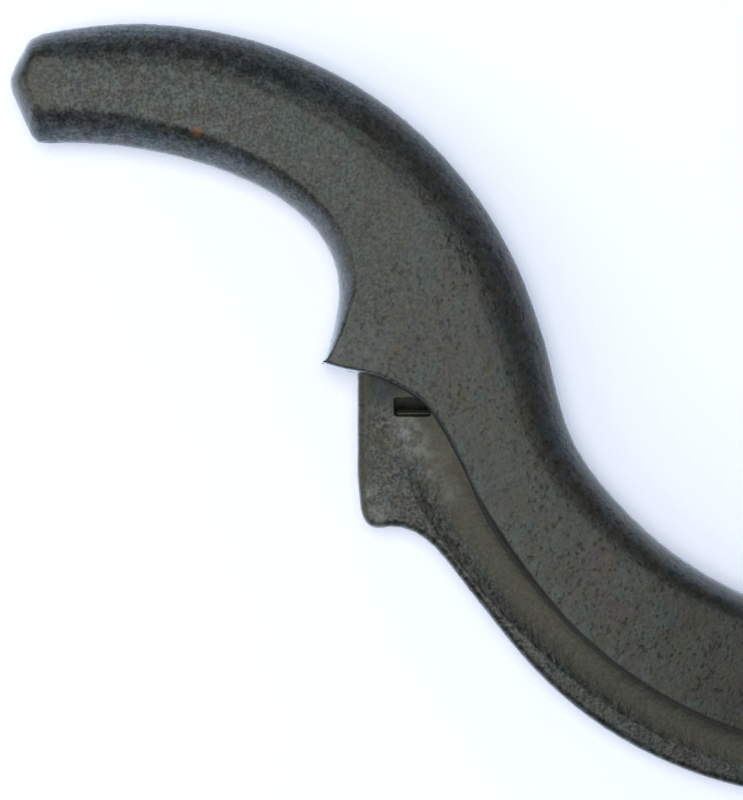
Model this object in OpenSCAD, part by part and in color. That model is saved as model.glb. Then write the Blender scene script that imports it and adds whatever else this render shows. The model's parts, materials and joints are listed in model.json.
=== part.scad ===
// Folding hand sickle: two half castings close round a crescent blade.
// Millimetres. The origin is on the pivot's axis, in the plane of the flat rear face.
// +Z is the thickness, and the handle runs from the pivot along -X to its upturned horn.

/* [Handle] */
// Thickness of the closed handle
body_t = 15; // [13:0.5:18]
// Radius of the knuckle round the pivot
knuckle_r = 20; // [19.6:0.1:22]
// Radius of the horn's outer curve
horn_r = 103.6; // [102:0.2:105]
// Radius of the handle's inner back, near the pivot
back_r = 101.7; // [101:0.1:102.5]
// Radius of the lip that the blade shows under
lip_r = 108.5; // [108:0.1:110]
// How far the crown of the horn slopes down to its outer curve
crown_w = 17; // [12:0.5:18]
// How far the horn's flank reaches in from its inner curve
horn_flank = 9; // [7:0.5:10]
// How far the back's flank reaches in near the pivot
back_flank = 5; // [3:0.5:6]
// Fullness of the flanks by the outline: 1 is a straight bevel and 2 a quarter round
edge_fullness = 1.5; // [1.2:0.1:2]
// Fullness of the flanks by the flat face, on the same scale
crown_fullness = 2.4; // [1.6:0.1:2.6]
// Fullness of the horn's inner flank by the flat face, where the crease is sharper
inner_fullness = 1.5; // [1.2:0.1:2.6]
// Width of the rear flanks as a share of the front ones
rear_share = 0.35; // [0.25:0.05:0.45]
// Rounding of the lip
lip_round = 0.8; // [0.4:0.1:1.2]
// Height of the front boss round the pivot
boss_h = 1.2; // [0.8:0.1:2]

/* [Blade] */
// Thickness of the blade at its spine
blade_t = 4; // [3.6:0.1:4.2]
// Gap on each side of the blade in its channel
slot_gap = 0.3; // [0.2:0.05:0.4]
// Radius of the blade's spine
spine_r = 104.05; // [103.9:0.05:104.3]
// Width of the ground bevel along the cutting edge
bevel_w = 11; // [6:0.5:12]
// Rounding of the spine and of the blunt nose
spine_round = 2; // [1:0.1:2]
// Depth of the fuller, the hollow along the blade's face
fuller_depth = 0.9; // [0.4:0.1:1.2]
// Depth of the nail notch
notch_depth = 2.6; // [1.5:0.1:3]
// Width of the nail notch
notch_w = 9; // [7:0.5:10]
// Distance over which the notch's floor slopes back up to the blade's face
notch_slope = 4.5; // [3:0.5:8]

/* [Pivot] */
// Radius of the pivot bolt's shoulder
bolt_r = 5; // [4.5:0.1:5.5]
// Radius of the bolt's domed head
head_r = 10.5; // [9:0.5:12]
// Height of the domed head
head_h = 3.4; // [2.5:0.1:4]
// Outer radius of the bronze bush in the tang
bush_r = 6.5; // [6.3:0.1:7]
// Outer radius of the thrust washers
washer_r = 13; // [11:0.5:13.5]
// Radius of the round nut
nut_r = 8; // [7:0.5:9]

/* [Fasteners] */
// Radius of the stop pins and the spring pin
pin_r = 2; // [1.8:0.1:2.2]
// Radius of the dowels that line up the two castings
dowel_r = 2.5; // [2:0.1:3]
// Radius of a case screw's shank
screw_r = 2.2; // [2:0.1:2.4]
// Radius of a case screw's countersunk head
screw_head_r = 4.4; // [4:0.1:5]

/* [Hidden] */

rings = 8;          // steps in each round flank
eps = 0.02;         // fitting clearance of pins, dowels and screws
run = 0.04;         // running clearance on a radius
play = 0.03;        // clearance of a thrust washer against each face
part_z = body_t / 2;
slot_low = part_z - blade_t / 2 - slot_gap;
slot_high = part_z + blade_t / 2 + slot_gap;
blade_top = part_z + blade_t / 2;
blade_low = part_z - blade_t / 2;

iron = "#4a463f";
blade_iron = "#514a3f";
steel = "#6d6c68";
bronze = "#8c6a3a";

// Centres of the handle's curves.
horn_c = [-222.05, 61.2];
horn_split = 62;         // where the horn's curve opens out towards its end
end_r = horn_r + 3.2;    // radius of that wider stretch
end_c = polar(horn_c, horn_r - end_r, horn_split);
inner_reach = 79;        // distance from horn_c that takes in the horn's inner curve
back_c = [-29, 115];
back_split = 235.5;      // where the back's curve tightens towards the neck
neck_r = 90.3;           // radius of that tighter stretch
neck_c = back_c + (back_r - neck_r) * [cos(back_split), sin(back_split)];
lip_c = [-38.6, 90.9];
spine_c = [-48.83, 75.57];

// The tang and its stops, as angles and radii about the pivot.
tang_r = spine_r - norm(spine_c);
heel_r = 18.2;
heel_from = -82;
heel_to = -62.2;
stop_ring = 16.3;
stop_angle = 125;
slot_ring = heel_r + 0.4;
slot_reach = 188.2;      // radius about the pivot that the blade's nose swings inside

// The leaf spring, as radii and angles about back_c.
leaf_in = back_r + 6;
leaf_out = leaf_in + 2;
leaf_from = 252;
leaf_eye_r = 3.6;
leaf_eye = leaf_in + leaf_eye_r;
edge_r = 119.5;          // radius of the cutting edge near the tang
channel_r = edge_r - 3;

// Places, sizes and reaches of the small parts.
eye_at = polar(back_c, leaf_eye, leaf_from);
stop_at = polar([0, 0], stop_ring, stop_angle);
rest_at = [-34, -4.4];
pin_reach = 5.3;         // half the length of a pin
dowel_reach = 4.5;       // half the length of a dowel
boss_r = 15.5;
washer_sink = 1;         // depth of a thrust washer's seat in its casting
head_washer_t = 1;
thread_r = bolt_r - 1;
nut_t = 2.55;
key_w = 1.8;             // width of the two key slots in the nut
key_depth = 1.2;
bolt_slot_w = 2;
bolt_slot_depth = 1.6;
screw_slot_w = 1.2;
screw_slot_depth = 1.2;
screw_at = [[-235, 150], polar(horn_c, 86.5, 66), polar(horn_c, 90.5, 39), [-123.4, 62],
            polar(back_c, back_r + 8.2, 246.3)];
screw_turn = [25, 80, 140, 55, 10];
screw_cover = 4;         // iron left between a screw's tip and the front face
dowel_at = [[-212, 147], [-166, 111]];
notch_at = [-158.8, 67.1];

function polar(c, r, a) = c + r * [cos(a), sin(a)];
function mix(a, b, t) = a + (b - a) * t;
function unit(v) = v / norm(v);
function right_of(d) = [d.y, -d.x];

// Every outline runs clockwise, seen from +Z. One point of it is [x, y, inset x, inset y]:
// the place on the silhouette, and how far the round flank reaches in from there.
function edge_point(p, d, w) = concat(p, w * right_of(unit(d)));

function arc_edge(c, r, a0, a1, n, w0, w1) =
    let (way = a1 > a0 ? 1 : -1)
    [for (i = [1:n]) let (t = i / n, a = mix(a0, a1, t))
        edge_point(polar(c, r, a), way * [-sin(a), cos(a)], mix(w0, w1, t))];

function bezier(p, t) =
    pow(1 - t, 3) * p[0] + 3 * pow(1 - t, 2) * t * p[1]
    + 3 * (1 - t) * t * t * p[2] + pow(t, 3) * p[3];

function bezier_way(p, t) =
    pow(1 - t, 2) * (p[1] - p[0]) + 2 * (1 - t) * t * (p[2] - p[1]) + t * t * (p[3] - p[2]);

function curve_edge(p, n, w0, w1) =
    [for (i = [1:n]) let (t = i / n)
        edge_point(bezier(p, t), bezier_way(p, t), mix(w0, w1, t))];

// A curve from p to q that leaves at heading a and arrives at heading b.
function headed(p, a, reach_a, q, b, reach_b) =
    [p, polar(p, reach_a, a), polar(q, -reach_b, b), q];

// ---- Handle outline ----

neck_top = polar(horn_c, horn_r, 19);
neck_low = polar(neck_c, neck_r, 224.4);
back_end = polar(back_c, back_r, 266);
knuckle_from = 112;
knuckle_to = -110;
lip_from = 273;
lip_to = 223;
lip_top = [-149.2, 66.8];
spur_root = [-168, 77.6];
spur = [-176.6, 80.8];
throat = [-172.8, 98.5];
horn_low = [-245, 135.1];

horn_end = [
    [-247.9, 135.4, 0.3, 9],
    [-249.6, 136.9, 1.2, 8.4],
    [-252, 142, 3.6, 4.8],
    [-254.1, 146.9, 5, 1.8],
    [-254.9, 149.3, 5.4, 0.6],
    [-254.9, 151.3, 5.4, -0.4],
    [-254.2, 153.4, 5.2, -1.2],
    [-252.4, 157, 4.2, -3.4],
    [-250.9, 159.8, 3, -5.6],
    [-249.7, 161.2, 2.4, -7],
    [-246.8, 162.6, 2.2, -8.8]];

handle_edge = concat(
    horn_end,
    arc_edge(end_c, end_r, 102.6, 92, 4, 9.6, crown_w - 2),
    arc_edge(end_c, end_r, 92, horn_split, 10, crown_w - 2, crown_w),
    arc_edge(horn_c, horn_r, horn_split, 19, 15, crown_w, crown_w),
    curve_edge(headed(neck_top, -71, 28.8, neck_low, -45.6, 29.5), 14, crown_w, back_flank + 7),
    arc_edge(neck_c, neck_r, 224.4, back_split, 4, back_flank + 7, back_flank + 5),
    arc_edge(back_c, back_r, back_split, 266, 11, back_flank + 5, back_flank),
    curve_edge(headed(back_end, -4, 9, polar([0, 0], knuckle_r, knuckle_from), 22, 9), 6,
               back_flank, back_flank - 1),
    arc_edge([0, 0], knuckle_r, knuckle_from, knuckle_to, 44, back_flank - 1, back_flank - 1),
    curve_edge(headed(polar([0, 0], knuckle_r, knuckle_to), 160, 8,
                      polar(lip_c, lip_r, lip_from), 183, 8), 7, back_flank - 1, lip_round),
    arc_edge(lip_c, lip_r, lip_from, lip_to, 20, lip_round, lip_round),
    curve_edge([polar(lip_c, lip_r, lip_to), [-142.1, 43.3], [-135.5, 45.8], lip_top], 12,
               lip_round, lip_round),
    curve_edge([lip_top, [-151.8, 71.8], [-162.8, 77.2], spur_root], 7, lip_round, lip_round),
    curve_edge([spur_root, [-171, 78], [-173, 78.6], spur - [1.2, 1.4] * 0.6], 3,
               lip_round, lip_round),
    [concat(spur, [1, 0.2])],
    curve_edge([spur, [-174.3, 87], [-172.8, 94.4], throat], 6, 1, horn_flank / 2),
    curve_edge([throat, [-172.8, 125.2], [-219.5, 136.6], horn_low], 20,
               horn_flank / 2, horn_flank));

// ---- Channel between the castings, open along the lip and round the knuckle ----

channel = concat(
    [for (a = [161:-2.6:153.2]) polar([0, 0], slot_reach, a)],
    [for (t = [0.2:0.2:1])
        bezier([polar([0, 0], slot_reach, 153.2), [-167.3, 92], [-158, 99.5], [-147, 107]], t)],
    [[-142.5, 106]],
    [for (t = [0:0.1:0.95])
        bezier([[-141.2, 104], [-127.6, 61.6], [-122, 38.5], polar(back_c, channel_r, 236)], t)],
    [for (a = [236:2.7:249.6]) polar(back_c, channel_r, a)],
    [for (a = [249.5:1.9:276.2]) polar(back_c, leaf_in - 0.4, a)],
    [for (a = [154:-4:138]) polar([0, 0], slot_ring, a)],
    [polar([0, 0], 30, 138), [0, 30], [30, 30], [30, -40], [-60, -50], [-140, -10], [-190, 30]]);

// ---- Blade outline ----

nose_low = [-160.2, 39.2];
nose_turn = [-167.6, 45.8];
nose_side = [-168.2, 53];
nose_top = [-168.2, 79];
tip = [-145, 103];
spine_end = polar(spine_c, spine_r, 228.7);
spine_mid = [-140.1, 23.3];
spine_way = 128.5;       // heading of the spine there
edge_split = polar(back_c, edge_r, 236);
edge_end = polar(back_c, edge_r, 264.6);
tang_round = 0.8;
edge_foot = [[-40.2, -4, -1.2, -2.6], [-39, -5.8, -1, -2], [-37, -6.5, 0, -2], [-31, -6.5, 0, -2]];

blade_edge = concat(
    arc_edge([0, 0], tang_r, 158, -57.1, 34, tang_round, tang_round),
    arc_edge(spine_c, spine_r, 302.9, 296, 4, tang_round, spine_round),
    arc_edge(spine_c, spine_r, 296, 228.7, 26, spine_round, spine_round),
    curve_edge(headed(spine_end, 138.7, 12, spine_mid, spine_way, 13.4), 7,
               spine_round, spine_round),
    curve_edge([spine_mid, polar(spine_mid, 9.3, spine_way), [-151.3, 39.7], nose_low], 8,
               spine_round, spine_round),
    curve_edge([nose_low, [-164.8, 37.8], [-167.3, 39.8], nose_turn], 7,
               spine_round, spine_round),
    curve_edge([nose_turn, [-167.9, 49], [-168.2, 51], nose_side], 2, spine_round, spine_round),
    [concat(nose_top, [spine_round, 0])],
    curve_edge([nose_top, [-168.2, 88], [-157, 96], mix([-157, 96], tip, 0.93)], 9,
               spine_round, 0.6),
    [concat(tip, [-0.6, -2.6])],
    curve_edge([tip, [-131.1, 60.2], [-124.8, 35.5], edge_split], 22, 3.4, bevel_w),
    arc_edge(back_c, edge_r, 236, 262, 12, bevel_w, bevel_w),
    edge_foot,
    curve_edge([[-31, -6.5], [-24, -6.5], [-15.5, -1.5], polar([0, 0], tang_r, 158)], 6,
               spine_round, tang_round));

function is_bevel(p) = norm([p[2], p[3]]) > 2.2;

// ---- Fuller ----

fuller_r = lip_r + 3.5;
fuller_turn = polar(lip_c, fuller_r, lip_to);

// One station of the fuller: place, heading, half width and depth.
fuller_path = concat(
    [for (t = [0:0.125:0.95]) let (p = [[-155.5, 68], [-150, 50], [-137, 30], fuller_turn])
        [bezier(p, t), unit(bezier_way(p, t)), mix(7.5, 6, t),
         mix(-0.1, fuller_depth, min(1, 2.5 * t))]],
    [for (a = [lip_to:3:268]) let (t = (a - lip_to) / (268 - lip_to))
        [polar(lip_c, fuller_r, a), [-sin(a), cos(a)], mix(6, 4.2, t),
         mix(fuller_depth, -0.1, pow(t, 3))]]);

// ---- Solids ----

// A solid skinned over rings of points, one above the other, with the same count in each.
// resize() changes nothing here: it has the concave end faces cut into triangles first.
module skin(layers) {
    n = len(layers[0]);
    last = len(layers) - 1;
    sides = [for (k = [0:last - 1]) for (i = [0:n - 1])
        let (a = k * n + i, b = k * n + (i + 1) % n) each [[a, b, b + n], [a, b + n, a + n]]];
    resize([0, 0, 0])
        polyhedron([for (layer = layers) each layer],
                   concat([[for (i = [n - 1:-1:0]) i]], sides, [[for (i = [0:n - 1]) last * n + i]]),
                   convexity = 8);
}

// Fullness by the flat face at a point of the outline: it grows with the distance from the
// centre of the horn's curve, so the crease is sharp inside the horn and soft elsewhere.
function fullness(p) =
    let (outward = (norm([p[0], p[1]] - horn_c) - inner_reach) / (horn_r - inner_reach))
    mix(inner_fullness, crown_fullness, max(0, min(1, outward)));

// Half a casting, from its outline at the parting plane up to its flat face.
module half_shell(share) {
    skin([for (k = [0:rings])
        let (a = 90 * k / rings, rise = pow(sin(a), 2 / edge_fullness))
            [for (p = handle_edge)
                let (inset = share * (1 - pow(cos(a), 2 / fullness(p))))
                    [p[0] + inset * p[2], p[1] + inset * p[3], part_z * (1 + rise)]]]);
}

// The bevel runs straight from the middle of the blade, and the other edges are rounded.
module blade_blank() {
    skin([for (u = [-1, -0.9, -0.65, 0, 0.65, 0.9, 1])
        [for (p = blade_edge) let (inset = is_bevel(p) ? abs(u) : 1 - sqrt(1 - u * u))
            [p[0] + inset * p[2], p[1] + inset * p[3], part_z + u * blade_t / 2]]]);
}

// The cutter of the fuller: a shallow trough swept along its path.
module fuller() {
    skin([for (f = fuller_path) let (across = right_of(f[1]))
        concat([for (s = [-1.2:0.3:1.21])
                   concat(f[0] + s * f[2] * across, blade_top - f[3] * (1 - s * s))],
               [for (s = [1.2, -1.2]) concat(f[0] + s * f[2] * across, blade_top + 2)])]);
}

// The cutter of the nail notch: a wedge whose steep wall is on the side away from the lip.
module nail_notch() {
    translate([notch_at.x, notch_at.y, blade_top]) rotate([90, 0, 90])
        linear_extrude(notch_w)
            polygon([[0, -notch_depth], [notch_slope, 0], [notch_slope, 1], [0, 1]]);
}

module at(p) {
    translate([p.x, p.y, 0]) children();
}

module rod(r, z0, z1) {
    translate([0, 0, z0]) cylinder(r = r, h = z1 - z0, $fn = 48);
}

// Everything that both castings are bored for: pins and dowels between them.
module shared_bores() {
    for (p = dowel_at)
        at(p) rod(dowel_r + eps, part_z - dowel_reach - eps, part_z + dowel_reach + eps);
    for (p = [eye_at, stop_at, rest_at])
        at(p) rod(pin_r + eps, part_z - pin_reach - 0.2, part_z + pin_reach + 0.2);
}

module channel_cut() {
    translate([0, 0, slot_low])
        linear_extrude(slot_high - slot_low) polygon(channel);
}

module front_casting() {
    color(iron) difference() {
        union() {
            half_shell(1);
            translate([0, 0, body_t - 1]) cylinder(r = boss_r, h = 1 + boss_h, $fn = 96);
        }
        channel_cut();
        shared_bores();
        rod(washer_r + 0.3, slot_high - 1, slot_high + washer_sink);
        rod(bolt_r + run, slot_high, body_t + boss_h + 1);
        for (p = screw_at)
            at(p) rod(screw_r + eps, part_z - 1, body_t - screw_cover);
    }
}

module rear_casting() {
    color(iron) difference() {
        translate([0, 0, body_t]) mirror([0, 0, 1]) half_shell(rear_share);
        channel_cut();
        shared_bores();
        rod(washer_r + 0.3, slot_low - washer_sink, slot_low + 1);
        rod(bolt_r + run, -1, slot_low);
        rod(nut_r + 0.15, -1, nut_t + 0.05);
        for (p = screw_at)
            at(p) {
                rod(screw_r + 0.1, -1, part_z + 1);
                translate([0, 0, -0.01]) cylinder(r1 = screw_head_r + 0.1, r2 = screw_r + 0.1,
                                                  h = screw_head_r - screw_r, $fn = 48);
            }
    }
}

module blade() {
    color(blade_iron) difference() {
        union() {
            blade_blank();
            translate([0, 0, blade_low]) linear_extrude(blade_t)
                polygon(concat([[0, 0]], [for (i = [0:6])
                    polar([0, 0], heel_r, mix(heel_to, heel_from, i / 6))]));
        }
        rod(bush_r, 0, body_t);
        nail_notch();
        fuller();
    }
}

module tang_bush() {
    color(bronze) difference() {
        rod(bush_r - eps, blade_low, blade_top);
        rod(bolt_r + run, 0, body_t);
    }
}

module thrust_washer() {
    difference() {
        rod(washer_r, 0, washer_sink + slot_gap - 2 * play);
        rod(bolt_r + 0.1, -1, 3);
    }
}

module front_thrust_washer() {
    color(bronze) translate([0, 0, blade_top + play]) thrust_washer();
}

module rear_thrust_washer() {
    color(bronze) translate([0, 0, slot_low - washer_sink + play]) thrust_washer();
}

// The bolt: domed slotted head, shoulder through both castings, thinner threaded end.
module pivot_bolt() {
    seat = body_t + boss_h + head_washer_t;
    dome = (head_r * head_r + head_h * head_h) / (2 * head_h);
    color(steel) difference() {
        union() {
            rod(bolt_r, nut_t + 0.15, seat + 0.5);
            rod(thread_r, 0, nut_t + 0.45);
            intersection() {
                translate([0, 0, seat + head_h - dome]) sphere(r = dome, $fn = 96);
                rod(head_r, seat, seat + head_h + 1);
            }
        }
        translate([-head_r, -bolt_slot_w / 2, seat + head_h - bolt_slot_depth])
            cube([2 * head_r, bolt_slot_w, bolt_slot_depth + 1]);
    }
}

module head_washer() {
    color(steel) difference() {
        rod(head_r + 1.5, body_t + boss_h, body_t + boss_h + head_washer_t);
        rod(bolt_r + 0.1, body_t, body_t + boss_h + 2);
    }
}

module pivot_nut() {
    color(steel) difference() {
        rod(nut_r, 0, nut_t);
        rod(thread_r + eps, -1, nut_t + 1);
        for (a = [30, 210])
            rotate(a) translate([nut_r - 1.9, -key_w / 2, -1]) cube([3, key_w, 1 + key_depth]);
    }
}

module leaf_spring() {
    reach = asin((polar([0, 0], tang_r + 0.08, 154).x - back_c.x) / leaf_out);
    tip_a = 270 + reach;
    strip = concat(
        [for (i = [0:14]) polar(back_c, leaf_in, mix(leaf_from, tip_a, i / 14))],
        [for (i = [14:-1:0]) polar(back_c, leaf_out, mix(leaf_from, tip_a, i / 14))]);
    color(steel) translate([0, 0, slot_low + 0.2]) difference() {
        union() {
            linear_extrude(blade_t + 0.2) polygon(strip);
            at(eye_at) rod(leaf_eye_r, 0, blade_t + 0.2);
        }
        at(eye_at) rod(pin_r + run, -1, blade_t + 2);
    }
}

module pin() {
    color(steel) rod(pin_r, part_z - pin_reach, part_z + pin_reach);
}

module dowel() {
    color(steel) rod(dowel_r, part_z - dowel_reach, part_z + dowel_reach);
}

module case_screw(turn) {
    color(steel) difference() {
        union() {
            rod(screw_r, screw_head_r - screw_r, body_t - screw_cover - 0.2);
            translate([0, 0, 0.15]) cylinder(r1 = screw_head_r - 0.1, r2 = screw_r,
                                             h = screw_head_r - screw_r - 0.1, $fn = 48);
        }
        rotate(turn) translate([-screw_head_r, -screw_slot_w / 2, -1])
            cube([2 * screw_head_r, screw_slot_w, 1 + screw_slot_depth]);
    }
}

module screw(i) {
    at(screw_at[i]) case_screw(screw_turn[i]);
}

front_casting();
rear_casting();
blade();
tang_bush();
front_thrust_washer();
rear_thrust_washer();
pivot_bolt();
head_washer();
pivot_nut();
leaf_spring();
at(eye_at) pin();  // spring_pin
at(stop_at) pin();  // open_stop_pin
at(rest_at) pin();  // rest_pin
at(dowel_at[0]) dowel();  // horn_dowel
at(dowel_at[1]) dowel();  // neck_dowel
screw(0);  // horn_end_screw
screw(1);  // horn_screw
screw(2);  // neck_screw
screw(3);  // bend_screw
screw(4);  // back_screw
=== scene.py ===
"""Looks of the folding hand sickle: two old iron castings, a folded blade, and their small parts.

Sizes are in metres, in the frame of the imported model, whose origin is on the pivot's axis.
"""

import json

import bpy
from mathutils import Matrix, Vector


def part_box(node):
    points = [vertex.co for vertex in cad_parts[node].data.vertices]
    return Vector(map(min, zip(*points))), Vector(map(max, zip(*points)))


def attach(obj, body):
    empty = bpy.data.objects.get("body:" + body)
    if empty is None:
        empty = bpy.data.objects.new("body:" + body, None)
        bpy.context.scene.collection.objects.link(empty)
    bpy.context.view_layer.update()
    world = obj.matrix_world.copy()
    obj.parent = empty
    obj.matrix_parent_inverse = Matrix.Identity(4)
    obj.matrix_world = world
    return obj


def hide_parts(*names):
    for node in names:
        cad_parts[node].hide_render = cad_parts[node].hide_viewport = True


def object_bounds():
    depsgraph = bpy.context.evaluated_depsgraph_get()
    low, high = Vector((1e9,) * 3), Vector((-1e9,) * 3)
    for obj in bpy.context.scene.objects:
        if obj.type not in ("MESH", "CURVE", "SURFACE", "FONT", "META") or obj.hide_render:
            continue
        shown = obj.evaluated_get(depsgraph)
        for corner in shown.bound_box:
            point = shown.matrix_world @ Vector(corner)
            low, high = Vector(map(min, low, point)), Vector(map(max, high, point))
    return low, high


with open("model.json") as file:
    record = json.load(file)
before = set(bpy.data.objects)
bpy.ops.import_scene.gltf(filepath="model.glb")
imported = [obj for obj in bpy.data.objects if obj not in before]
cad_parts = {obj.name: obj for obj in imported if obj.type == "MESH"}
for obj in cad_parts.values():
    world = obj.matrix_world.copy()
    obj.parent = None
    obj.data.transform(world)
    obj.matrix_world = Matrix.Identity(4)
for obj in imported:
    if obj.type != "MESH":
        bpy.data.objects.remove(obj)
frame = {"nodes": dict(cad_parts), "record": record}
cad_low, cad_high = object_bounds()

MM = 0.001
rear_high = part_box("rear_casting")[1]
blade_low, blade_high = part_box("blade")
parting = (blade_low.z + blade_high.z) / 2  # the height at which the two castings meet
face = 2 * parting  # the height of the handle's front face


# ---- Meshes ----


def noise_texture(name, kind, size, **settings):
    """A procedural texture for a Displace modifier."""
    texture = bpy.data.textures.new(name, kind)
    texture.noise_scale = size
    for key, value in settings.items():
        setattr(texture, key, value)
    return texture


def displace(obj, texture, depth, level):
    """Moves the surface along its normals, from -level * depth to (1 - level) * depth."""
    modifier = obj.modifiers.new(texture.name, "DISPLACE")
    modifier.texture = texture
    modifier.strength = depth
    modifier.mid_level = level


def settle(obj):
    """Applies every modifier to the mesh."""
    graph = bpy.context.evaluated_depsgraph_get()
    mesh = bpy.data.meshes.new_from_object(obj.evaluated_get(graph))
    obj.modifiers.clear()
    obj.data = mesh


def weathered_copy(node, name, voxel, rounding, layers):
    """A fine, evenly meshed copy of a CAD node, with its edges worn round and its faces uneven."""
    obj = bpy.data.objects.new(name, frame["nodes"][node].data.copy())
    bpy.context.scene.collection.objects.link(obj)
    obj.data.materials.clear()
    remesh = obj.modifiers.new("even", "REMESH")
    remesh.mode = "VOXEL"
    remesh.voxel_size = voxel
    smooth = obj.modifiers.new("worn", "SMOOTH")
    smooth.factor = 0.5
    smooth.iterations = rounding
    for texture, depth, level in layers:
        displace(obj, texture, depth, level)
    settle(obj)
    for polygon in obj.data.polygons:
        polygon.use_smooth = True
    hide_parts(node)
    return obj


# ---- Materials ----


class Nodes:
    """Short calls for building a material's node tree."""

    def __init__(self, name):
        self.material = bpy.data.materials.new(name)
        self.material.use_nodes = True
        self.tree = self.material.node_tree
        self.shader = self.tree.nodes["Principled BSDF"]
        self.place = self.add("TexCoord").outputs["Object"]

    def add(self, kind, **settings):
        node = self.tree.nodes.new("ShaderNode" + kind)
        for key, value in settings.items():
            setattr(node, key, value)
        return node

    def wire(self, value, socket):
        if isinstance(value, bpy.types.NodeSocket):
            self.tree.links.new(value, socket)
        else:
            socket.default_value = value

    def noise(self, size, detail=3.0, rough=0.55, warp=0.0, shift=0.0):
        """Cloudy noise from 0 to 1, with features about size metres across.

        Each shift gives a pattern of its own.
        """
        node = self.add("TexNoise", noise_dimensions="4D")
        self.wire(self.place, node.inputs["Vector"])
        node.inputs["W"].default_value = shift
        node.inputs["Scale"].default_value = 1.0 / size
        node.inputs["Detail"].default_value = detail
        node.inputs["Roughness"].default_value = rough
        node.inputs["Distortion"].default_value = warp
        return node.outputs["Fac"]

    def ramp(self, value, low, high, out_low=0.0, out_high=1.0):
        """value between low and high, moved to between out_low and out_high, with soft ends."""
        node = self.add("MapRange", interpolation_type="SMOOTHSTEP")
        self.wire(value, node.inputs["Value"])
        for key, number in (("From Min", low), ("From Max", high),
                            ("To Min", out_low), ("To Max", out_high)):
            self.wire(number, node.inputs[key])
        return node.outputs["Result"]

    def math(self, operation, a, b=0.0):
        node = self.add("Math", operation=operation)
        self.wire(a, node.inputs[0])
        self.wire(b, node.inputs[1])
        return node.outputs[0]

    def times(self, first, *others):
        """The product of all the values."""
        for other in others:
            first = self.math("MULTIPLY", first, other)
        return first

    def mix(self, share, a, b, blend="MIX"):
        """Colour a where share is 0, and b where it is 1."""
        node = self.add("Mix", data_type="RGBA", blend_type=blend)
        self.wire(share, node.inputs["Factor"])
        self.wire(a, node.inputs["A"])
        self.wire(b, node.inputs["B"])
        return node.outputs["Result"]

    def mix_number(self, share, a, b):
        """Number a where share is 0, and b where it is 1."""
        node = self.add("Mix", data_type="FLOAT")
        self.wire(share, node.inputs["Factor"])
        self.wire(a, node.inputs["A"])
        self.wire(b, node.inputs["B"])
        return node.outputs["Result"]

    def axis(self, vector, name):
        node = self.add("SeparateXYZ")
        self.wire(vector, node.inputs[0])
        return node.outputs[name]

    def curvature(self):
        """0.5 on a flat face, more on an outer edge, and less in a corner."""
        return self.add("NewGeometry").outputs["Pointiness"]

    def near(self, point, inner, outer):
        """1 within inner metres of a point, fading to 0 at outer metres from it."""
        node = self.add("VectorMath", operation="DISTANCE")
        self.wire(self.place, node.inputs[0])
        node.inputs[1].default_value = point
        return self.ramp(node.outputs["Value"], inner, outer, 1.0, 0.0)

    def bump(self, height, depth, under=None):
        """A normal for relief depth metres deep, on top of the normal under."""
        node = self.add("Bump")
        node.inputs["Distance"].default_value = depth
        self.wire(height, node.inputs["Height"])
        if under:
            self.wire(under, node.inputs["Normal"])
        return node.outputs["Normal"]

    def finish(self, colour, rough, normal, metal, specular=0.5):
        """Wires the shader, and gives the material."""
        self.wire(colour, self.shader.inputs["Base Color"])
        self.wire(rough, self.shader.inputs["Roughness"])
        self.wire(normal, self.shader.inputs["Normal"])
        self.wire(metal, self.shader.inputs["Metallic"])
        self.shader.inputs["Specular IOR Level"].default_value = specular
        return self.material


def rgb(r, g, b):
    """An opaque colour."""
    return (r, g, b, 1.0)


def scaled(colour, share):
    """The colour at share times its brightness."""
    return rgb(*(share * c for c in colour[:3]))


GREEN_GREY = rgb(0.0395, 0.046, 0.0435)
BROWN_GREY = rgb(0.042, 0.039, 0.029)
PLUM_GREY = rgb(0.043, 0.038, 0.037)
TEAL = rgb(0.034, 0.048, 0.044)
OLIVE = rgb(0.044, 0.041, 0.024)
BARE = rgb(0.24, 0.25, 0.23)
NEAR_BLACK = rgb(0.008, 0.0075, 0.007)
RUST = rgb(0.13, 0.05, 0.014)
OXIDE = 0.5  # how metallic the oxide skin is
OXIDE_SHINE = 0.25  # its specular level

# Middle and radius of the two arcs of the lip that the blade comes out under, seen from above. The
# lower arc is the CAD's own.
LIP_LOW = ((-38.6 * MM, 90.9 * MM), 108.5 * MM)
LIP_HIGH = ((31.4 * MM, 145.3 * MM), 197 * MM)
LIP_CHANGE = 17 * MM  # the y at which the lower arc hands over to the higher one
LIP_TOP = 67 * MM  # the y at which the lip turns off towards the spur
LIP_FOOT = -33 * MM  # the x by which the lip's own look has faded out, short of the knuckle

# The CAD's arc of the cutting edge near the tang, which the rest of the edge keeps close to.
EDGE_MIDDLE = (-29 * MM, 115 * MM)
EDGE_RADIUS = 119.5 * MM

# Places are mm right of and below the top left corner of the handle's or the blade's box.
RUST_SPOTS = ((47.0, 27.9, 2.0), (128.2, 84.7, 1.1))  # x, y and reach
END_STAIN = (0.0, 14.0)
# Bare patches below the nail notch: worn metal, and in part a painted highlight.
WORN_AND_LIT_SPOTS = (  # x, y, reach and share of bare metal
    (11.8, 38.6, 5.5, 0.28), (14.2, 43.0, 6.5, 0.26), (18.0, 48.5, 6.5, 0.2),
    (22.0, 55.0, 6.0, 0.12), (3.0, 55.0, 3.0, 0.5), (5.0, 61.0, 5.0, 0.4))
# Where painted shade, dark teal, lies on the blade's face under the lip beside the spur.
SPUR_SHADE_SPOT = (6.0, 27.5)
NAIL_NOTCH = (13.9, 34.0)


def on_handle(x, y, z):
    """The point at a place on the handle, at height z."""
    return (cad_low.x + x * MM, rear_high.y - y * MM, z)


def on_blade(x, y):
    """The point at a place on the blade's face."""
    return (blade_low.x + x * MM, blade_high.y - y * MM, blade_high.z)


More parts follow.
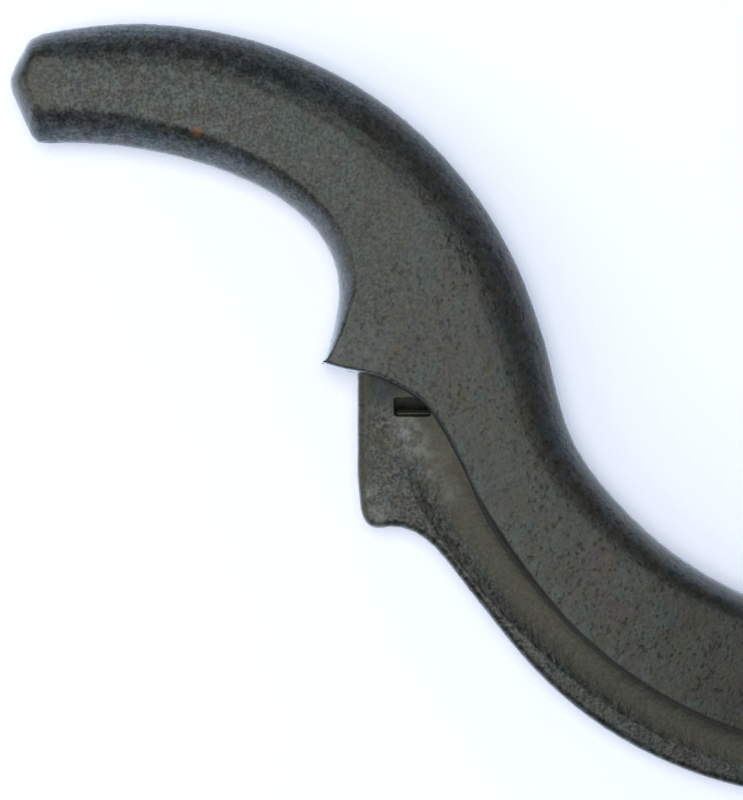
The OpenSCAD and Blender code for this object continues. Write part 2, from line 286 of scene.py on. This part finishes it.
def iron_skin(n, brown, pitting, contrast):
    """Colour, roughness and relief of old pitted iron; the three shares run from 0 to 1."""
    patch = n.noise(16 * MM, 4.0, 0.6, 0.4, 1.0)
    colour = n.mix(n.times(brown, n.ramp(patch, 0.35, 0.6, 0.55, 1.0)), GREEN_GREY, BROWN_GREY)
    for tint, size, share, shift in ((PLUM_GREY, 8 * MM, 0.8, 2.0), (OLIVE, 5 * MM, 0.6, 3.0),
                                     (TEAL, 6 * MM, 0.7, 4.0)):
        cloud = n.noise(size, 2.0, 0.55, 0.3, shift)
        colour = n.mix(n.ramp(cloud, 0.42, 0.72, 0.0, share), colour, tint)
    mottle = n.noise(2.2 * MM, 3.0, 0.55, 0.3, 5.0)
    grain = n.noise(0.8 * MM, 1.5, 0.5, 0.0, 6.0)
    colour = n.mix(n.times(contrast, 0.9), colour, n.ramp(mottle, 0.3, 0.7, 0.2, 0.8), "OVERLAY")
    colour = n.mix(contrast, colour, n.ramp(grain, 0.3, 0.7, 0.15, 0.85), "OVERLAY")
    crowd = n.ramp(n.noise(12 * MM, 3.0, 0.55, 0.0, 7.0), 0.35, 0.6, 0.4, 1.0)
    hole = n.ramp(n.noise(1.1 * MM, 0.0, 0.5, 0.0, 8.0), 0.56, 0.76)
    hole = n.times(hole, crowd, pitting)
    colour = n.mix(n.times(hole, 0.6), colour, NEAR_BLACK)
    rough = n.ramp(mottle, 0.3, 0.7, 0.3, 0.4)
    normal = n.bump(mottle, 0.07 * MM)
    normal = n.bump(grain, 0.045 * MM, normal)
    normal = n.bump(n.times(hole, -1.0), 0.04 * MM, normal)
    return colour, rough, normal


def worn_edges(n, colour, rough, share):
    """Dulls the outer edges, rubs them down to bare metal here and there, and roughens them."""
    edge = n.ramp(n.curvature(), 0.53, 0.6)
    broken = n.ramp(n.noise(1.8 * MM, 3.0, 0.6, 0.0, 11.0), 0.56, 0.68)
    colour = n.mix(n.times(edge, 0.6), colour, scaled(OLIVE, 0.5))
    colour = n.mix(n.times(edge, broken, share), colour, BARE)
    return colour, n.mix_number(edge, rough, 0.75)


def outside_arc(n, middle, radius):
    """Distance outside a circle, seen from above."""
    flat = n.add("VectorMath", operation="MULTIPLY")
    n.wire(n.place, flat.inputs[0])
    flat.inputs[1].default_value = (1.0, 1.0, 0.0)
    reach = n.add("VectorMath", operation="DISTANCE")
    n.wire(flat.outputs[0], reach.inputs[0])
    reach.inputs[1].default_value = (*middle, 0.0)
    return n.math("SUBTRACT", reach.outputs["Value"], radius)


def past_lip(n):
    """Distance outside the lip's arcs: below 0 on the castings, and above 0 on the open blade."""
    upper = n.ramp(n.axis(n.place, "Y"), LIP_CHANGE - 5 * MM, LIP_CHANGE + 5 * MM)
    return n.mix_number(upper, outside_arc(n, *LIP_LOW), outside_arc(n, *LIP_HIGH))


def handle_iron():
    """Green and strongly mottled at the horn's end; brown, dark and pitted towards the pivot."""
    n = Nodes("handle_iron")
    along = n.axis(n.place, "X")
    brown = n.ramp(along, cad_low.x + 30 * MM, cad_low.x + 160 * MM, 0.1, 0.95)
    pitting = n.ramp(along, cad_low.x + 40 * MM, cad_low.x + 110 * MM, 0.35, 1.0)
    contrast = n.ramp(along, cad_low.x + 40 * MM, cad_low.x + 130 * MM, 0.64, 0.24)
    colour, rough, normal = iron_skin(n, brown, pitting, contrast)
    outward = past_lip(n)
    by_lip = n.times(n.ramp(n.axis(n.place, "Y"), LIP_TOP - 2 * MM, LIP_TOP + 2 * MM, 1.0, 0.0),
                     n.ramp(along, LIP_FOOT - 14 * MM, LIP_FOOT, 1.0, 0.0))
    lip = n.times(n.ramp(outward, -7.0 * MM, -1.5 * MM), by_lip)
    verdigris = n.ramp(n.noise(3 * MM, 4.0, 0.62, 0.4, 13.0), 0.4, 0.66, 0.0, 0.8)
    colour = n.mix(n.times(lip, verdigris), colour, scaled(TEAL, 1.3))
    end_stain = n.near(on_handle(*END_STAIN, parting), 6 * MM, 18 * MM)
    colour = n.mix(n.times(end_stain, 0.5), colour, scaled(BROWN_GREY, 1.2))
    for x, y, reach in RUST_SPOTS:
        spot = n.near(on_handle(x, y, face), 0.2 * MM, reach * MM)
        colour = n.mix(n.times(spot, 0.8), colour, scaled(RUST, 2.0 / reach))
    colour = n.mix(n.ramp(along, cad_low.x + 140 * MM, cad_low.x + 185 * MM), colour,
                   rgb(0.8, 0.78, 0.74), "MULTIPLY")
    spur = n.near((blade_low.x - 2 * MM, LIP_TOP + 16 * MM, face), 3 * MM, 13 * MM)
    colour = n.mix(n.times(spur, verdigris), colour, scaled(GREEN_GREY, 1.5))
    # Painted shade along the lip's edge: a dark olive line, also made rough, which dulls the edge's
    # highlight.
    shaded_lip_edge = n.times(n.ramp(outward, -1.7 * MM, -0.9 * MM), by_lip)
    colour = n.mix(n.times(shaded_lip_edge, 0.7), colour, scaled(OLIVE, 0.5))
    rough = n.mix_number(shaded_lip_edge, rough, 0.9)
    colour, rough = worn_edges(n, colour, rough, 0.7)
    return n.finish(colour, rough, normal, OXIDE, OXIDE_SHINE)


def honed_edge(n, colour, streak):
    """A brighter band along the cutting edge, which shows when the tool is open."""
    inward = n.math("ADD", outside_arc(n, EDGE_MIDDLE, EDGE_RADIUS), n.times(streak, 2 * MM))
    stain = n.ramp(n.noise(1.5 * MM, 4.0, 0.65, 0.3, 16.0), 0.35, 0.65)
    return n.mix(n.ramp(inward, 2.5 * MM, 6.5 * MM, 0.8, 0.0), colour,
                 n.mix(stain, scaled(BARE, 0.75), scaled(BARE, 0.3)))


def notch_dirt_and_shade(n, height, broken):
    """Where the nail notch is darkened with dirt and painted shade: low in the notch, but only above
    the parting height.

    That keeps it off the blade's rear face. It also leaves the notch's deepest part clean.
    """
    deep = n.ramp(n.math("ADD", height, n.times(broken, -0.5 * MM)),
                  blade_high.z - 2.6 * MM, blade_high.z - 0.7 * MM, 1.0, 0.0)
    in_front = n.ramp(height, parting, parting + 0.5 * MM)
    notch = n.near(on_blade(*NAIL_NOTCH), 6 * MM, 9 * MM)
    return n.times(deep, in_front, notch)


def blade_iron():
    """Pitted like the castings away from the lip, and smooth and brown beside it."""
    n = Nodes("blade_iron")
    height = n.axis(n.place, "Z")
    ragged = n.math("ADD", past_lip(n), n.times(n.noise(5 * MM, 3.0, 0.6, 0.0, 14.0), 3 * MM))
    smooth = n.ramp(ragged, 7.5 * MM, 10.5 * MM, 1.0, 0.0)
    colour, rough, normal = iron_skin(n, 0.6, n.math("SUBTRACT", 1.0, smooth), 0.7)
    streak = n.noise(7 * MM, 4.0, 0.6, 0.8, 12.0)
    rubbed = n.mix(n.ramp(streak, 0.35, 0.65), scaled(BROWN_GREY, 0.9), scaled(OLIVE, 0.8))
    colour = n.mix(n.times(smooth, 0.75), colour, rubbed)
    colour = honed_edge(n, colour, streak)
    broken = n.ramp(n.noise(3 * MM, 4.0, 0.65, 0.4, 15.0), 0.4, 0.6, 0.25, 1.0)
    # Bare metal below the nail notch: wear, and in part a painted highlight.
    for x, y, reach, share in WORN_AND_LIT_SPOTS:
        spot = n.near(on_blade(x, y), 0.1 * reach * MM, reach * MM)
        colour = n.mix(n.times(spot, broken, share), colour, BARE)
    # Painted shade: dark teal on the blade's face just under the lip and the spur, where the casting
    # overhangs it.
    spur_shade = n.times(n.near(on_blade(*SPUR_SHADE_SPOT), 2.5 * MM, 8.5 * MM),
                    n.ramp(height, parting, blade_high.z), n.ramp(streak, 0.3, 0.6, 0.7, 1.0))
    colour = n.mix(spur_shade, colour, scaled(TEAL, 0.35))
    flank = n.ramp(n.axis(n.place, "X"), blade_low.x + 1 * MM, blade_low.x + 6 * MM, 0.6, 0.0)
    colour = n.mix(flank, colour, scaled(OLIVE, 0.7))
    notch_shade_and_dirt = notch_dirt_and_shade(n, height, broken)
    # Dirt and painted shade, near black, low in the nail notch.
    colour = n.mix(n.times(notch_shade_and_dirt, 0.8), colour, NEAR_BLACK)
    colour, rough = worn_edges(n, colour, rough, 0.4)
    # Painted shade too: the notch is made more metallic, which takes away its diffuse light and
    # darkens it.
    metal = n.ramp(notch_shade_and_dirt, 0.0, 1.0, OXIDE, 0.85)
    return n.finish(colour, rough, normal, metal, OXIDE_SHINE)


def tarnished(name, bright, dark):
    """Dull metal from bright to dark, with fine mottling and brighter edges."""
    n = Nodes(name)
    stain = n.ramp(n.noise(3.5 * MM, 5.0, 0.6, 0.5, 1.5), 0.35, 0.65)
    colour = n.mix(stain, bright, dark)
    grain = n.noise(0.4 * MM, 3.0, 0.6, 0.0, 2.5)
    colour = n.mix(n.ramp(grain, 0.35, 0.7, 0.0, 0.4), colour, scaled(dark, 0.5))
    edge = n.ramp(n.curvature(), 0.52, 0.6, 0.0, 0.6)
    colour = n.mix(edge, colour, scaled(bright, 1.5))
    rough = n.ramp(stain, 0.0, 1.0, 0.3, 0.6)
    return n.finish(colour, rough, n.bump(grain, 0.06 * MM), 0.85)


# ---- The object ----

swell = noise_texture("swell", "CLOUDS", 14 * MM)
lumps = noise_texture("lumps", "CLOUDS", 2.6 * MM, noise_depth=2)
# Texture, depth, and the share of the depth that goes inwards.
casting_layers = [(swell, 0.3 * MM, 0.5), (lumps, 0.1 * MM, 0.5)]
blade_layers = [(swell, 0.1 * MM, 0.5), (lumps, 0.08 * MM, 0.5)]

slot_of = {part["node"]: part["material_slot"] for part in frame["record"]["subparts"]}
casting_finish = handle_iron()
# Node, visual piece, voxel size, rounds of smoothing, relief, material and body.
WEATHERED = (
    ("front_casting", "front_handle_half", 0.5 * MM, 3, casting_layers, casting_finish, "handle"),
    ("rear_casting", "rear_handle_half", 0.5 * MM, 3, casting_layers, casting_finish, "handle"),
    ("blade", "sickle_blade", 0.35 * MM, 3, blade_layers, blade_iron(), "blade"))
for node, name, voxel, rounding, layers, finish, body in WEATHERED:
    piece = weathered_copy(node, name, voxel, rounding, layers)
    piece.data.materials.append(finish)
    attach(piece, body)

FINISHES = {
    "steel": tarnished("steel", rgb(0.105, 0.098, 0.088), rgb(0.045, 0.038, 0.031)),
    "spring_steel": tarnished("spring_steel", rgb(0.11, 0.12, 0.15), rgb(0.05, 0.05, 0.055)),
    "bronze": tarnished("bronze", rgb(0.36, 0.24, 0.1), rgb(0.14, 0.095, 0.05))}
for name, obj in frame["nodes"].items():
    finish = FINISHES.get(slot_of.get(name))
    if finish:
        obj.data.materials.clear()
        obj.data.materials.append(finish)

# ---- Floor, light and camera ----

VIEW_MIDDLE = Vector((-0.1646, 0.071, 0.0))
FLOOR_DROP = 0.4 * MM  # keeps the floor clear of the uneven rear face
FLOOR_GLOW_ON_OBJECT = 2.1  # how strongly the floor glows for the light that reaches the object
FLOOR_GLOW_SEEN = 0.22  # and for the camera

bpy.ops.mesh.primitive_plane_add(size=6.0, location=(-0.12, 0.07, -FLOOR_DROP))
floor = bpy.context.object
floor.name = "floor"
paper = Nodes("paper")
paper_grain = paper.noise(1.2 * MM, 3.0)
paper_colour = paper.mix(paper.ramp(paper_grain, 0.3, 0.7), rgb(0.88, 0.89, 0.91),
                         rgb(0.91, 0.92, 0.94))
paper.shader.inputs["Emission Color"].default_value = rgb(0.76, 0.9, 1.2)
seen = paper.add("LightPath").outputs["Is Camera Ray"]
paper.wire(paper.ramp(seen, 0.0, 1.0, FLOOR_GLOW_ON_OBJECT, FLOOR_GLOW_SEEN),
           paper.shader.inputs["Emission Strength"])
floor.data.materials.append(
    paper.finish(paper_colour, 0.75, paper.bump(paper_grain, 0.05 * MM), 0.0))


def soft_light(name, direction, distance, size, power, tint):
    """A square panel that hangs in a direction from the object and shines on it."""
    lamp = bpy.data.lights.new(name, "AREA")
    lamp.shape = "SQUARE"
    lamp.size = size
    lamp.energy = power
    lamp.color = tint
    obj = bpy.data.objects.new(name, lamp)
    bpy.context.scene.collection.objects.link(obj)
    way = Vector(direction).normalized()
    obj.location = VIEW_MIDDLE + distance * way
    obj.rotation_euler = (-way).to_track_quat("-Z", "Y").to_euler()
    obj.visible_camera = False


soft_light("overhead_panel", direction=(-0.19, 0.09, 1.0), distance=1.4, size=1.2, power=11.8,
           tint=(1.0, 0.99, 0.97))
soft_light("window", direction=(-1.0, -0.15, 0.62), distance=1.6, size=0.9, power=7.0,
           tint=(1.0, 0.95, 0.88))


# Colours of the room from the horizon (0) to straight overhead (1), by the sine of the height.
ROOM_COLOURS = ((0.0, rgb(1.45, 1.75, 2.4)), (0.2, rgb(1.3, 1.55, 2.2)), (0.4, rgb(0.13, 0.14, 0.18)),
                (0.85, rgb(0.06, 0.055, 0.065)), (0.98, rgb(0.8, 0.9, 1.0)))
ROOM_SEEN = rgb(0.86, 0.9, 0.94)


def room():
    """A dark room with a pale blue horizon; the camera sees it plain and pale."""
    world = bpy.data.worlds.new("room")
    world.use_nodes = True
    tree = world.node_tree
    place = tree.nodes.new("ShaderNodeTexCoord")
    split = tree.nodes.new("ShaderNodeSeparateXYZ")
    tree.links.new(place.outputs["Generated"], split.inputs[0])
    fade = tree.nodes.new("ShaderNodeValToRGB")
    while len(fade.color_ramp.elements) < len(ROOM_COLOURS):
        fade.color_ramp.elements.new(0.5)
    for element, (position, colour) in zip(fade.color_ramp.elements, ROOM_COLOURS):
        element.position = position
        element.color = colour
    tree.links.new(split.outputs["Z"], fade.inputs["Fac"])
    path = tree.nodes.new("ShaderNodeLightPath")
    seen = tree.nodes.new("ShaderNodeMix")
    seen.data_type = "RGBA"
    tree.links.new(path.outputs["Is Camera Ray"], seen.inputs["Factor"])
    tree.links.new(fade.outputs["Color"], seen.inputs["A"])
    seen.inputs["B"].default_value = ROOM_SEEN
    tree.links.new(seen.outputs["Result"], tree.nodes["Background"].inputs["Color"])
    return world


bpy.context.scene.world = room()
bpy.context.scene.view_settings.view_transform = "Standard"

# The view is straight down. It takes in the horn and the bend, and the pivot end runs out of it.
VIEW_HEIGHT = 0.2  # how much of the parting plane the picture takes in, from top to bottom
LENS = 135.0  # mm, as is the sensor
SENSOR = 36.0
camera_data = bpy.data.cameras.new("camera")
camera = bpy.data.objects.new("camera", camera_data)
bpy.context.scene.collection.objects.link(camera)
camera_data.lens = LENS
camera_data.sensor_width = SENSOR
camera.location = VIEW_MIDDLE + Vector((0.0, 0.0, VIEW_HEIGHT * LENS / SENSOR + parting))
bpy.context.scene.camera = camera
